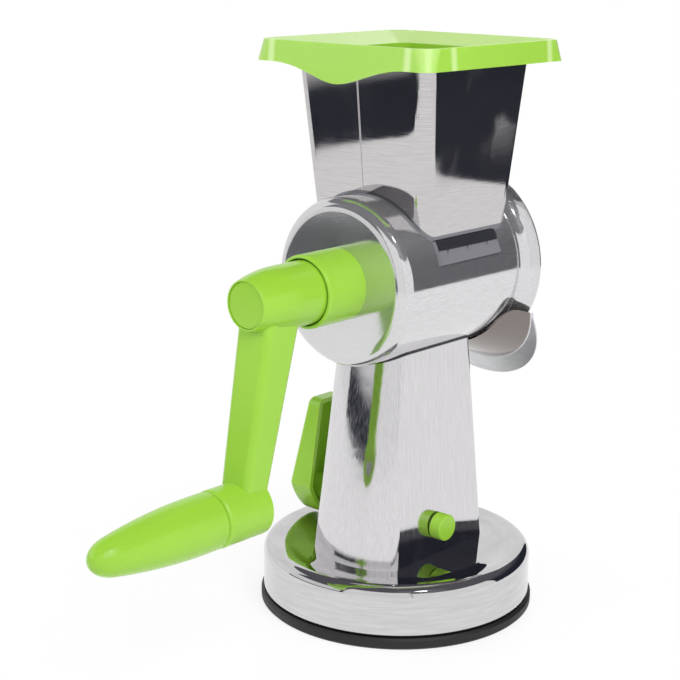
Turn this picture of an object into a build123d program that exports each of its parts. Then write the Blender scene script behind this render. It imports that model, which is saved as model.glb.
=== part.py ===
"""Rotary cabbage shredder on a suction base. All sizes are millimetres.

The origin is the middle of the suction pad's underside and +Z is up. The barrel lies along Y, with the
crank at its -Y end and the outlet at its +Y end. The locking lever is on the -X side of the neck.
The crank hangs straight down and the lever stands upright, which is the released state.
"""

from build123d import *
from math import acos, cos, degrees, radians, sin
import os

os.makedirs("parts", exist_ok=True)

# ---- driving dimensions ------------------------------------------------------------------------

# General fits
sheet_gauge = 1.0  # pressed steel of the base, barrel and neck
running_gap = 0.05  # radial, shaft in a bearing
loose_gap = 0.3  # between pieces that move past each other
seat_gap = 0.1  # radial, spigot in its hole

# Suction base
pad_radius = 64.5
pad_thickness = 2.6
pad_rim_height = 5.2
pad_rim_width = 10.0
pad_flex_radius = 50.0  # the middle of the pad, inside this radius, is pulled up by the post
pad_boss_radius = 12.0
pad_boss_height = 7.0
pad_boss_flare = 4.0
pad_edge = 1.0
pad_step = 2.0  # slope from the thick rim down to the thin part
shell_radius = 63.3
shell_crest_height = 28.8
shell_shoulder = 5.2
shell_hem = 2.0
deck_radius = 46.0
deck_dip = 1.8  # the flat middle of the shell lies this far under its crest
frame_plate = 3.0
frame_skirt = 3.0
frame_gap = 0.5  # between the frame and the shell round it
frame_lip = 1.5
frame_step = 1.0
frame_shoulder = 4.0
frame_ring = 8.0  # how far the plate and the skirt overlap
frame_ribs = 6
frame_rib_start = 13.5
frame_rib_end = 37.0
frame_rib_width = 2.4
frame_rib_height = 6.0
screw_radius = 2.0
screw_head_radius = 3.8
screw_head_height = 2.4
screw_socket_radius = 2.0
screw_socket_depth = 1.4
screw_proud = 1.5
base_screw_x = 15.0
base_screw_y = 21.0

# Neck: a tapered column with flat sides and a bowed front
neck_foot_half = 24.9
neck_foot_front = 31.0
neck_foot_back = 36.6
neck_foot_bow = 9.2
neck_head_half = 19.8
neck_head_front = 20.5
neck_head_back = 28.8
neck_head_bow = 5.5
neck_corner = 5.0
neck_head_overlap = 9.0
foot_plate = 2.5

# Barrel
axis_height = 159.0
barrel_radius = 38.0
barrel_front = 43.0
barrel_shoulder = 6.0
flare_start = 39.0
flare_bend = 8.0
flare_radius = 44.4
bearing_spigot_radius = 12.5
barrel_ledge_x = 3.5  # the opening lies this far inside the hopper's foot
barrel_ledge_y = 2.5
cutter_reach = 120.0  # half length of the tools that cut along the barrel

# Hopper
hopper_center = 6.6
hopper_top_height = 256.0
hopper_top_half = 38.0
hopper_foot_drop = 17.0  # from the axis up to where the hopper's side walls meet the barrel
hopper_base_rise = 11.4  # its walls are drawn from here, inside the barrel, and then cut
hopper_foot_half_x = 32.5
hopper_foot_half_y = 29.8
hopper_gauge = 0.9
hopper_corner = 6.5
tab_angle_low = 14.6
tab_angle_high = 31.0
tab_front = 17.5
tab_back = 25.0
tab_angle_weld = 22.0
weld_radius = 1.2
weld_height = 0.25
weld_count = 3

# Hopper guard
guard_center = 4.1  # its skirt reaches further over the crank side than over the outlet side
guard_height = 263.0
guard_half = 48.7
guard_flare = 1.5  # the skirt is this much wider at its lower edge
guard_wall = 2.0
guard_corner = 9.0
guard_corner_low = 3.0  # its corners are sharper at the lower edge
guard_skirt = 9.4
guard_dip = 7.5
guard_dip_half = 38.0
guard_lip = 1.2
guard_collar = 10.0

# Outlet spout
spout_front = 33.0
spout_gauge = 0.9
spout_slope = 0.43
spout_lip_radius = 39.5
spout_lip_center_y = 51.0
spout_lip_center_z = 132.2
spout_lip_lean = 29.0  # degrees from upright
spout_top_height = 141.5
spout_top_slope = 0.31
spout_front_round = 6.0

# Crank bearing and its nut
bearing_radius = 16.2
bearing_length = 23.0
bearing_lip = 1.2  # rounding of the collar's front edge
bearing_recess_radius = 14.8
bearing_recess_depth = 6.0
journal_radius = 9.0
nut_thickness = 4.0
nut_radius = 18.0
nut_notch_radius = 2.2
nut_notches = 6
spigot_proud = 1.5

# Drive
shaft_square = 8.0
shaft_square_corner = 0.6
shaft_flange_radius = 11.5
shaft_flange = 2.0
tenon_square = 10.0
tenon_length = 14.0
crank_screw_radius = 2.0
crank_screw_head_radius = 4.0
crank_screw_head_height = 2.8
crank_screw_depth = 10.0  # into the tenon
crank_screw_slot_length = 5.2
crank_screw_slot_width = 1.0
crank_screw_slot_depth = 1.5
crank_web = 6.0  # hub wall between the tenon and the screw's head

# Drum
drum_clearance = 2.4
drum_front_radius = 30.0
drum_gauge = 0.8
drum_end = 42.0
drum_hub_plate = 4.0
drum_hub_boss_radius = 11.0
drum_hub_boss_length = 18.0
drum_hub_gap = 1.5
drum_hub_round = 1.5
drum_ribs = 6
drum_rib_height = 8.0
drum_rib_length = 24.0
drum_rib_width = 2.0
drum_rim_width = 5.0
drum_rim_gauge = 1.4
drum_rim_round = 0.4
slot_rows = 4
slots_per_row = 9
slot_row_pitch = 16.0
slot_width = 3.4
slot_length = 11.5
slot_first_row = 11.0  # behind the drum's front edge
blade_width = 3.2
blade_lift_angle = 24.0
rivet_radius = 1.6
rivet_head_radius = 2.6
rivet_head_height = 0.6
rivet_depth = 5.0
rivet_count = 4

# Crank
hub_radius = 14.0
hub_front = 100.4
hub_front_radius = 10.8
hub_taper = 20.4  # the hub narrows over this length towards its front
hub_edge = 0.5
cap_radius = 10.0
cap_thickness = 2.6
cap_sink = 0.4
cap_edge = 0.4
crank_throw = 88.2
arm_top_width = 19.5
arm_top_depth = 21.0
arm_top_y = 84.3
arm_foot_width = 16.5
arm_foot_depth = 14.0
arm_foot_y = 103.6
arm_corner = 3.5
boss_radius = 12.7
boss_back = 96.8
boss_front = 122.0
boss_round = 2.0

# Grip
grip_length = 63.8
grip_radius = 12.5
grip_straight = 6.0
grip_taper = 47.5
grip_nose_radius = 8.3
grip_nose_fullness = 0.7  # how far its side runs on before it turns in, as a share of the nose radius
grip_nose_flatness = 0.55  # how wide its end stays flat
grip_end_round = 0.8
grip_pin_radius = 4.0
grip_pin_reach = 42.0
grip_pin_head_radius = 7.0
grip_pin_head_height = 3.0
clip_gauge = 1.0
clip_radius = 5.6
clip_groove_radius = 3.2
clip_from_end = 3.0
clip_opening = 3.0

# Suction lock
lock_height = 41.0
lock_shaft_radius = 4.0
cam_radius = 8.0
cam_throw = 3.2
cam_length = 9.0
cam_rest_angle = 45.0  # the cam's lobe points this far below -Y while the lever stands upright
bush_radius = 5.6
bush_flange_radius = 8.0
bush_flange = 1.5
bush_proud = 0.1
cap_button_radius = 6.2
cap_button_length = 6.0
cap_button_wall = 2.0
cap_button_round = 0.8
lever_rim_x = 42.0
lever_outer_x = 56.0
lever_top_lean = 6.0
lever_lean_from = 5.0
lever_height = 49.0
lever_belly = 15.7
lever_belly_height = 6.0
lever_heel = 10.6
lever_heel_turn = 225.0  # where the round heel gives way to the belly
lever_tip_front = 8.5
lever_tip_back = 9.5
lever_tip_round = 4.0
lever_edge_round = 2.5
lever_wall = 2.2
lever_boss_radius = 8.0
lever_screw_radius = 1.6
lever_screw_head_radius = 3.2
lever_screw_head_height = 1.6
lever_screw_length = 12.0
lever_screw_tip_gap = 1.0
lever_shaft_skin = 4.0  # from the shaft's end to the lever's outer face
post_radius = 5.0
post_flange_radius = 9.0
post_flange = 2.0
post_flange_height = 3.0
yoke_wall = 4.0
yoke_width = 11.0
yoke_slot_gap = 0.35
yoke_slot_side_gap = 1.2
yoke_corner = 2.5
yoke_hole_gap = 0.6
spring_wire = 1.2
spring_radius = 8.0
spring_turns = 4
frame_boss_height = 5.0

# ---- values that follow ------------------------------------------------------------------------

deck_height = shell_crest_height - deck_dip
frame_top = deck_height - sheet_gauge
frame_bottom = frame_top - frame_plate
neck_head_height = axis_height - barrel_radius + neck_head_overlap
barrel_inner = barrel_radius - sheet_gauge
flare_turn = degrees(acos(1 - (flare_radius - barrel_radius) / flare_bend))
flare_end = flare_start + flare_bend * sin(radians(flare_turn))
wall_inside = barrel_front - sheet_gauge
bearing_front = barrel_front + bearing_length
recess_floor = bearing_front - bearing_recess_depth
spigot_end = -wall_inside + nut_thickness + spigot_proud
hub_back = recess_floor + loose_gap
square_start = spigot_end + loose_gap + shaft_flange
drum_start = square_start + drum_hub_gap
drum_rear_radius = barrel_inner - drum_clearance
tenon_end = hub_back + tenon_length
screw_seat = tenon_end + loose_gap + crank_web
hopper_foot_height = axis_height + hopper_foot_drop
grip_height = axis_height - crank_throw
grip_start = boss_front + loose_gap
grip_end = grip_start + grip_length
cam_offset_y = -cam_throw * cos(radians(cam_rest_angle))
cam_offset_z = -cam_throw * sin(radians(cam_rest_angle))
yoke_slot_half = cam_radius + yoke_slot_gap
yoke_slot_front = cam_throw + cam_radius + yoke_slot_side_gap
yoke_slot_back = cam_offset_y + cam_radius + yoke_slot_side_gap
yoke_slot_height = lock_height + cam_offset_z
yoke_middle = (yoke_slot_back - yoke_slot_front) / 2
yoke_length = yoke_slot_front + yoke_slot_back + 2 * yoke_wall

barrel_axis = Axis((0, 0, axis_height), (0, 1, 0))
grip_axis = Axis((0, 0, grip_height), (0, 1, 0))
barrel_side = Plane(origin=(0, 0, axis_height), x_dir=(0, 1, 0), z_dir=(1, 0, 0))
grip_side = Plane(origin=(0, 0, grip_height), x_dir=(0, 1, 0), z_dir=(1, 0, 0))


def facing_crank(y, z=axis_height, x=0.0):
    """A plane square to Y at y, whose drawing side and extrusions face the crank's end (-Y)."""
    return Plane(origin=(x, y, z), x_dir=(1, 0, 0), z_dir=(0, -1, 0))


def facing_right(x, z=lock_height, y=0.0):
    """A plane square to X at x, whose extrusions run towards +X; local x is world y."""
    return Plane(origin=(x, y, z), x_dir=(0, 1, 0), z_dir=(1, 0, 0))


# ---- suction base ------------------------------------------------------------------------------

with BuildPart() as suction_pad:
    with BuildSketch(Plane.XZ):
        with BuildLine():
            Polyline(
                (pad_flex_radius, 0),
                (pad_radius - pad_edge, 0),
                (pad_radius, pad_edge),
                (pad_radius, pad_rim_height - pad_edge),
                (pad_radius - pad_edge, pad_rim_height),
                (pad_radius - pad_rim_width, pad_rim_height),
                (pad_radius - pad_rim_width - pad_step, pad_thickness),
                (pad_flex_radius, pad_thickness),
                close=True,
            )
        make_face()
    revolve(axis=Axis.Z)

# The flexible middle of the pad, moulded round the pull post's flange.
with BuildPart() as pad_middle:
    with BuildSketch(Plane.XZ):
        with BuildLine():
            Polyline(
                (0, 0),
                (pad_flex_radius - seat_gap, 0),
                (pad_flex_radius - seat_gap, pad_thickness),
                (pad_boss_radius + pad_boss_flare, pad_thickness),
                (pad_boss_radius, pad_boss_height),
                (0, pad_boss_height),
                close=True,
            )
        make_face()
    revolve(axis=Axis.Z)
    with BuildSketch(Plane.XY.offset(post_flange_height)):
        Circle(post_flange_radius + seat_gap)
    extrude(amount=post_flange, mode=Mode.SUBTRACT)
    with BuildSketch(Plane.XY.offset(post_flange_height)):
        Circle(post_radius + seat_gap)
    extrude(amount=pad_boss_height - post_flange_height, mode=Mode.SUBTRACT)


def shell_outline(inset):
    """Half section of the base shell's outer (inset 0) or inner (inset one gauge) surface."""
    top = deck_height - inset
    crest = (shell_radius - shell_shoulder, shell_crest_height - inset)
    corner_middle = (shell_radius - shell_shoulder, shell_crest_height - shell_shoulder)
    curl_middle = (shell_radius - shell_hem, pad_rim_height + shell_hem)
    halfway = ((deck_radius + crest[0]) / 2, (top + crest[1]) / 2)
    with BuildSketch() as outline:
        with BuildLine():
            Polyline((deck_radius, top), (0, top), (0, pad_rim_height), (curl_middle[0], pad_rim_height))
            dish = TangentArc((deck_radius, top), halfway, tangent=(1, 0))
            TangentArc(dish @ 1, crest, tangent=dish % 1)
            corner = CenterArc(corner_middle, shell_shoulder - inset, 90, -90)
            curl = CenterArc(curl_middle, shell_hem - inset, 0, -90)
            Line(corner @ 1, curl @ 0)
            if inset:
                Line(curl @ 1, (curl_middle[0], pad_rim_height))
        make_face()
    return outline.sketch


with BuildPart() as base_shell:
    with BuildSketch(Plane.XZ):
        add(shell_outline(0))
    revolve(axis=Axis.Z)
    with BuildSketch(Plane.XZ):
        add(shell_outline(sheet_gauge))
    revolve(axis=Axis.Z, mode=Mode.SUBTRACT)
    with BuildSketch(Plane.XY.offset(deck_height)):
        with Locations((0, yoke_middle)):
            Rectangle(yoke_width + 2 * yoke_hole_gap, yoke_length + 2 * yoke_hole_gap)
        with GridLocations(2 * base_screw_x, 2 * base_screw_y, 2, 2):
            Circle(screw_radius + seat_gap)
    extrude(amount=-2 * sheet_gauge, mode=Mode.SUBTRACT)

# Moulded frame under the shell: it presses the pad's rim down and guides the pull post.
skirt_outer = shell_radius - shell_hem - frame_gap
with BuildPart() as base_frame:
    with BuildSketch(Plane.XY.offset(frame_bottom)):
        Circle(deck_radius - frame_gap)
    extrude(amount=frame_plate)
    with BuildSketch(Plane.XZ):
        with BuildLine():
            Polyline(
                (deck_radius - frame_ring, frame_bottom),
                (deck_radius - frame_ring, frame_top - frame_step),
                (deck_radius - frame_gap, frame_top - frame_step),
                (skirt_outer - frame_shoulder, frame_top - frame_step),
                (skirt_outer, frame_top - frame_step - frame_shoulder),
                (skirt_outer, pad_rim_height + frame_lip),
                (skirt_outer - frame_lip, pad_rim_height),
                (skirt_outer - frame_skirt, pad_rim_height),
                (skirt_outer - frame_skirt, frame_bottom - frame_skirt),
                (skirt_outer - 2 * frame_skirt, frame_bottom),
                close=True,
            )
        make_face()
    revolve(axis=Axis.Z)
    with BuildSketch(Plane.XY.offset(frame_bottom - frame_boss_height)):
        Circle(spring_radius + spring_wire / 2)
    extrude(amount=frame_boss_height)
    with BuildSketch(Plane.XY.offset(frame_bottom)):
        with PolarLocations((frame_rib_start + frame_rib_end) / 2, frame_ribs, start_angle=30):
            Rectangle(frame_rib_end - frame_rib_start, frame_rib_width)
    extrude(amount=-frame_rib_height)
    with Locations((0, 0, frame_top)):
        Hole(post_radius + loose_gap)
        with GridLocations(2 * base_screw_x, 2 * base_screw_y, 2, 2):
            Hole(screw_radius + seat_gap)

# ---- neck --------------------------------------------------------------------------------------


def neck_size(z):
    """Half width, front, back and bow of the neck at height z."""
    share = (z - deck_height) / (neck_head_height - deck_height)
    foot = (neck_foot_half, neck_foot_front, neck_foot_back, neck_foot_bow)
    head = (neck_head_half, neck_head_front, neck_head_back, neck_head_bow)
    return [low + (high - low) * share for low, high in zip(foot, head)]


def neck_section(z, inset):
    """Flat sides and back with a bowed front; every edge lies inset inside the full outline."""
    half, front, back, bow = neck_size(z)
    side = half - inset
    rear = back - inset
    lead = -front + inset
    with BuildSketch() as section:
        with BuildLine():
            Polyline((-side, lead), (-side, rear), (side, rear), (side, lead))
            ThreePointArc((side, lead), (0, lead - bow), (-side, lead))
        make_face()
        fillet(section.vertices(), neck_corner - inset)
    return section.sketch


with BuildPart() as neck:
    for inset, mode in ((0, Mode.ADD), (sheet_gauge, Mode.SUBTRACT)):
        for z in (deck_height, neck_head_height):
            with BuildSketch(Plane.XY.offset(z)):
                add(neck_section(z, inset))
        loft(mode=mode)
    # the saddle that the barrel sits in
    with BuildSketch(facing_crank(neck_foot_back)):
        Circle(barrel_radius)
    extrude(amount=neck_foot_back + neck_foot_front + neck_foot_bow, mode=Mode.SUBTRACT)
    # the holes for the lock shaft's bushes
    with BuildSketch(facing_right(-neck_foot_half)):
        Circle(bush_radius + seat_gap)
    extrude(amount=2 * neck_foot_half, mode=Mode.SUBTRACT)

with BuildPart() as neck_foot:
    for z in (deck_height, deck_height + foot_plate):
        with BuildSketch(Plane.XY.offset(z)):
            add(neck_section(z, sheet_gauge + seat_gap))
    loft()
    with BuildSketch(Plane.XY.offset(deck_height)):
        with Locations((0, yoke_middle)):
            Rectangle(yoke_width + 2 * yoke_hole_gap, yoke_length + 2 * yoke_hole_gap)
        with GridLocations(2 * base_screw_x, 2 * base_screw_y, 2, 2):
            Circle(screw_radius + seat_gap)
    extrude(amount=foot_plate, mode=Mode.SUBTRACT)

with BuildPart() as base_screws:
    with BuildSketch(Plane.XY.offset(frame_bottom - screw_head_height)):
        with GridLocations(2 * base_screw_x, 2 * base_screw_y, 2, 2):
            Circle(screw_head_radius)
    extrude(amount=screw_head_height)
    with BuildSketch(Plane.XY.offset(frame_bottom)):
        with GridLocations(2 * base_screw_x, 2 * base_screw_y, 2, 2):
            Circle(screw_radius)
    extrude(amount=frame_plate + sheet_gauge + foot_plate + screw_proud)
    with BuildSketch(Plane.XY.offset(frame_bottom - screw_head_height)):
        with GridLocations(2 * base_screw_x, 2 * base_screw_y, 2, 2):
            RegularPolygon(screw_socket_radius, 6)
    extrude(amount=screw_socket_depth, mode=Mode.SUBTRACT)

# ---- barrel ------------------------------------------------------------------------------------


with BuildPart() as barrel:
    with BuildSketch(barrel_side):
        with BuildLine():
            outer_corner = CenterArc((-barrel_front + barrel_shoulder, barrel_radius - barrel_shoulder),
                                     barrel_shoulder, 180, -90)
            Line(outer_corner @ 1, (flare_start, barrel_radius))
            outer_flare = CenterArc((flare_start, barrel_radius + flare_bend), flare_bend, -90, flare_turn)
            inner_corner = CenterArc((-barrel_front + barrel_shoulder, barrel_radius - barrel_shoulder),
                                     barrel_shoulder - sheet_gauge, 180, -90)
            Line(inner_corner @ 1, (flare_start, barrel_inner))
            inner_flare = CenterArc((flare_start, barrel_radius + flare_bend), flare_bend + sheet_gauge, -90,
                                    flare_turn)
            Line(outer_flare @ 1, inner_flare @ 1)
            Polyline(
                outer_corner @ 0,
                (-barrel_front, bearing_spigot_radius + seat_gap),
                (-wall_inside, bearing_spigot_radius + seat_gap),
                inner_corner @ 0,
            )
        make_face()
    revolve(axis=barrel_axis)
    # the opening under the hopper
    with BuildSketch(Plane.XY.offset(axis_height)):
        with Locations((0, hopper_center)):
            RectangleRounded(
                2 * (hopper_foot_half_x - barrel_ledge_x),
                2 * (hopper_foot_half_y - barrel_ledge_y),
                hopper_corner - sheet_gauge,
            )
    extrude(amount=2 * barrel_radius, mode=Mode.SUBTRACT)

# ---- hopper ------------------------------------------------------------------------------------

hopper_base_height = axis_height + hopper_base_rise


def hopper_half(z, foot_half):
    """Half width of the hopper at height z, on the straight line from its foot to its top."""
    share = (z - hopper_foot_height) / (hopper_top_height - hopper_foot_height)
    return foot_half + (hopper_top_half - foot_half) * share


with BuildPart() as hopper:
    for inset, mode in ((0, Mode.ADD), (hopper_gauge, Mode.SUBTRACT)):
        for z in (hopper_base_height, hopper_top_height):
            with BuildSketch(Plane.XY.offset(z)):
                with Locations((0, hopper_center)):
                    RectangleRounded(
                        2 * (hopper_half(z, hopper_foot_half_x) - inset),
                        2 * (hopper_half(z, hopper_foot_half_y) - inset),
                        hopper_corner - inset,
                    )
        loft(mode=mode)
    with BuildSketch(facing_crank(cutter_reach)):
        Circle(barrel_radius)
    extrude(amount=2 * cutter_reach, mode=Mode.SUBTRACT)
    # below the foot line the walls stop and only the welded tabs go on
    with BuildSketch(facing_crank(cutter_reach)):
        with Locations((0, -barrel_radius + hopper_foot_drop)):
            Rectangle(4 * hopper_top_half, 2 * barrel_radius)
    extrude(amount=2 * cutter_reach, mode=Mode.SUBTRACT)
    for side in (0, 180):
        low = tab_angle_low if side == 0 else 180 - tab_angle_high
        with BuildSketch(facing_crank(tab_back)):
            with BuildLine():
                inner = CenterArc((0, 0), barrel_radius, low, tab_angle_high - tab_angle_low)
                outer = CenterArc((0, 0), barrel_radius + hopper_gauge, low, tab_angle_high - tab_angle_low)
                Line(inner @ 0, outer @ 0)
                Line(inner @ 1, outer @ 1)
            make_face()
        extrude(amount=tab_front + tab_back)
    # spot welds stand a little proud of each tab
    weld_planes = []
    tab_radius = barrel_radius + hopper_gauge
    for angle in (tab_angle_weld, 180 - tab_angle_weld):
        out = (cos(radians(angle)), 0, sin(radians(angle)))
        for step in range(weld_count):
            y = -tab_front + (tab_front + tab_back) * (step + 0.5) / weld_count
            spot = (tab_radius * out[0], y, axis_height + tab_radius * out[2])
            weld_planes.append(Plane(origin=spot, x_dir=(0, 1, 0), z_dir=out))
    with BuildSketch(*weld_planes):
        Circle(weld_radius)
    extrude(amount=weld_height)
    with BuildSketch(*weld_planes):
        Circle(weld_radius)
    extrude(amount=-hopper_gauge / 2)

# ---- hopper guard ------------------------------------------------------------------------------

guard_low = guard_height - guard_skirt - guard_dip
throat_height = hopper_top_height + guard_wall
collar_low = hopper_top_height - guard_collar
collar_half = (
    min(hopper_half(collar_low, hopper_foot_half_x), hopper_half(collar_low, hopper_foot_half_y))
    - hopper_gauge
    - loose_gap
)


def rounded_square(half, corner, center):
    """One level of the guard: a rounded square about (0, center)."""
    with BuildSketch() as ring:
        with Locations((0, center)):
            RectangleRounded(2 * half, 2 * half, corner)
    return ring.sketch


with BuildPart() as hopper_guard:
    with BuildSketch(Plane.XY.offset(guard_low)):
        add(rounded_square(guard_half + guard_flare, guard_corner_low, guard_center))
    with BuildSketch(Plane.XY.offset(guard_height)):
        add(rounded_square(guard_half, guard_corner, guard_center))
    loft()
    # room under the skirt; the top sits on the hopper's rim
    with BuildSketch(Plane.XY.offset(guard_low)):
        inner_half = guard_half + guard_flare - guard_wall
        add(rounded_square(inner_half, guard_corner_low - guard_wall, guard_center))
    with BuildSketch(Plane.XY.offset(hopper_top_height)):
        add(rounded_square(guard_half - guard_wall, guard_corner - guard_wall, guard_center))
    loft(mode=Mode.SUBTRACT)
    # collar inside the hopper's mouth
    with BuildSketch(Plane.XY.offset(collar_low)):
        add(rounded_square(collar_half, hopper_corner - hopper_gauge, hopper_center))
    extrude(amount=throat_height - collar_low)
    # dished mouth and throat
    with BuildSketch(Plane.XY.offset(throat_height)):
        add(rounded_square(collar_half - guard_wall, hopper_corner - guard_wall, hopper_center))
    with BuildSketch(Plane.XY.offset(guard_height)):
        add(rounded_square(guard_half - guard_lip, guard_corner - guard_lip, guard_center))
    loft(mode=Mode.SUBTRACT)
    with BuildSketch(Plane.XY.offset(collar_low)):
        add(rounded_square(collar_half - guard_wall, hopper_corner - guard_wall, hopper_center))
    extrude(amount=throat_height - collar_low, mode=Mode.SUBTRACT)
    # the skirt's lower edge rises to the corners from a dip in its front and back
    edge_height = guard_height - guard_skirt
    reach = guard_half + guard_flare + 2
    with BuildSketch(facing_crank(guard_center + reach, z=0)):
        with BuildLine():
            dip = Spline(
                (-guard_dip_half, edge_height),
                (0, guard_low + 0.01),
                (guard_dip_half, edge_height),
                tangents=((1, 0), (1, 0)),
            )
            Polyline(dip @ 1, (reach, edge_height), (reach, guard_low - 1), (-reach, guard_low - 1),
                     (-reach, edge_height), dip @ 0)
        make_face()
    skirt_gap = extrude(amount=2 * reach, mode=Mode.PRIVATE)
    with BuildSketch(Plane.XY.offset(guard_low - 1)):
        with Locations((0, guard_center)):
            Rectangle(2 * reach, 2 * reach)
        with Locations((0, hopper_center)):
            Rectangle(2 * hopper_top_half, 2 * hopper_top_half, mode=Mode.SUBTRACT)
    skirt_zone = extrude(amount=guard_height - guard_low, mode=Mode.PRIVATE)
    add(skirt_gap & skirt_zone, mode=Mode.SUBTRACT)

# ---- outlet spout ------------------------------------------------------------------------------

lip_plane = Plane(
    origin=(0, spout_lip_center_y, spout_lip_center_z),
    x_dir=(1, 0, 0),
    z_dir=(0, cos(radians(spout_lip_lean)), sin(radians(spout_lip_lean))),
)
spout_end = spout_lip_center_y + spout_lip_radius


def spout_radius(y):
    """Inner radius of the spout's conical collar, which clears the barrel's flare."""
    return flare_radius + loose_gap + spout_slope * (y - flare_end)


with BuildPart() as outlet_spout:
    with BuildSketch(barrel_side):
        with BuildLine():
            Polyline(
                (spout_front, 0),
                (spout_end, 0),
                (spout_end, spout_radius(spout_end) + spout_gauge),
                (spout_front, spout_radius(spout_front) + spout_gauge),
                close=True,
            )
        make_face()
    revolve(axis=barrel_axis)
    split(bisect_by=lip_plane, keep=Keep.BOTTOM)
    with BuildSketch(lip_plane):
        Circle(spout_lip_radius)
    extrude(amount=-spout_gauge)
    with BuildSketch(barrel_side):
        with BuildLine():
            Polyline(
                (spout_front, 0),
                (spout_end, 0),
                (spout_end, spout_radius(spout_end)),
                (spout_front, spout_radius(spout_front)),
                close=True,
            )
        make_face()
    revolve(axis=barrel_axis, mode=Mode.SUBTRACT)
    # seen from the side, the spout ends at a sloping top edge with a rounded front corner
    with BuildSketch(Plane.YZ):
        with BuildLine():
            Polyline(
                (spout_front, spout_top_height),
                (spout_end, spout_top_height - spout_top_slope * (spout_end - spout_front)),
                (spout_end, 0),
                (spout_front, 0),
                close=True,
            )
        side_view = make_face()
        fillet(side_view.vertices().sort_by(Axis.Y)[-1], spout_front_round)
    extrude(amount=2 * spout_lip_radius, both=True, mode=Mode.INTERSECT)

# ---- crank bearing and drive -------------------------------------------------------------------

with BuildPart() as crank_bearing:
    with BuildSketch(barrel_side):
        with BuildLine():
            lip = CenterArc((-bearing_front + bearing_lip, bearing_radius - bearing_lip), bearing_lip, 90, 90)
            Polyline(
                lip @ 1,
                (-bearing_front, bearing_recess_radius),
                (-recess_floor, bearing_recess_radius),
                (-recess_floor, journal_radius + running_gap),
                (spigot_end, journal_radius + running_gap),
                (spigot_end, bearing_spigot_radius),
                (-barrel_front, bearing_spigot_radius),
                (-barrel_front, bearing_radius),
                lip @ 0,
            )
        make_face()
    revolve(axis=barrel_axis)

with BuildPart() as bearing_nut:
    with BuildSketch(facing_crank(-wall_inside + nut_thickness)):
        Circle(nut_radius)
        Circle(bearing_spigot_radius + seat_gap, mode=Mode.SUBTRACT)
        with PolarLocations(nut_radius, nut_notches):
            Circle(nut_notch_radius, mode=Mode.SUBTRACT)
    extrude(amount=nut_thickness)

with BuildPart() as drive_shaft:
    with BuildSketch(facing_crank(square_start)):
        Circle(shaft_flange_radius)
    extrude(amount=shaft_flange)
    with BuildSketch(facing_crank(square_start)):
        Circle(journal_radius)
    extrude(amount=square_start + hub_back)
    with BuildSketch(facing_crank(-hub_back)):
        Rectangle(tenon_square, tenon_square)
    extrude(amount=tenon_length)
    with BuildSketch(facing_crank(drum_start + drum_hub_plate + drum_hub_boss_length)):
        RectangleRounded(shaft_square, shaft_square, shaft_square_corner)
    extrude(amount=drum_hub_gap + drum_hub_plate + drum_hub_boss_length)
    with BuildSketch(facing_crank(-tenon_end)):
        Circle(crank_screw_radius + running_gap)
    extrude(amount=-crank_screw_depth - loose_gap, mode=Mode.SUBTRACT)

# ---- drum --------------------------------------------------------------------------------------


def drum_radius(y):
    """Outer radius of the drum's tapered wall."""
    share = (y - drum_start) / (drum_end - drum_start)
    return drum_front_radius + (drum_rear_radius - drum_front_radius) * share


def radial_plane(angle, y, radius, lift=0.0):
    """A plane at an angle round the drum whose local x is +Y; lift tips it off the tangent."""
    out = Vector(cos(radians(angle)), 0, sin(radians(angle)))
    facing = Vector(cos(radians(angle + lift)), 0, sin(radians(angle + lift)))
    return Plane(origin=out * radius + Vector(0, y, axis_height), x_dir=(0, 1, 0), z_dir=facing)


drum_grip_y = drum_start + drum_hub_plate / 2
rivet_angles = [45 + 360 * step / rivet_count for step in range(rivet_count)]
rivet_planes = [radial_plane(angle, drum_grip_y, drum_radius(drum_grip_y)) for angle in rivet_angles]

with BuildPart() as drum_hub:
    with BuildSketch(facing_crank(drum_start + drum_hub_plate)):
        Circle(drum_front_radius - drum_gauge - seat_gap)
    extrude(amount=drum_hub_plate)
    with BuildSketch(facing_crank(drum_start + drum_hub_plate + drum_hub_boss_length)):
        Circle(drum_hub_boss_radius)
    extrude(amount=drum_hub_boss_length)
    fillet(drum_hub.faces().sort_by(Axis.Y)[-1].edges(), drum_hub_round)
    # ribs between the boss and the plate
    with BuildSketch(facing_crank(drum_start + drum_hub_plate + drum_rib_height)):
        with PolarLocations(0, drum_ribs):
            with Locations((drum_front_radius / 2, 0)):
                Rectangle(drum_rib_length, drum_rib_width)
    extrude(amount=drum_rib_height)
    with BuildSketch(facing_crank(drum_start + drum_hub_plate + drum_hub_boss_length)):
        Rectangle(shaft_square + 2 * seat_gap, shaft_square + 2 * seat_gap)
    extrude(amount=drum_hub_plate + drum_hub_boss_length, mode=Mode.SUBTRACT)
    with BuildSketch(*rivet_planes):
        Circle(rivet_radius + running_gap)
    extrude(amount=-rivet_depth - seat_gap, mode=Mode.SUBTRACT)

slot_places = []
for row in range(slot_rows):
    slot_y = drum_start + slot_first_row + slot_row_pitch * row
    for step in range(slots_per_row):
        slot_places.append((360 * (step + 0.5 * (row % 2)) / slots_per_row, slot_y))
slot_planes = [radial_plane(angle, y, drum_radius(y)) for angle, y in slot_places]
blade_planes = []
for angle, y in slot_places:
    edge = angle + degrees(slot_width / 2 / drum_radius(y))
    blade_planes.append(radial_plane(edge, y, drum_radius(y) - drum_gauge, blade_lift_angle))

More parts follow.
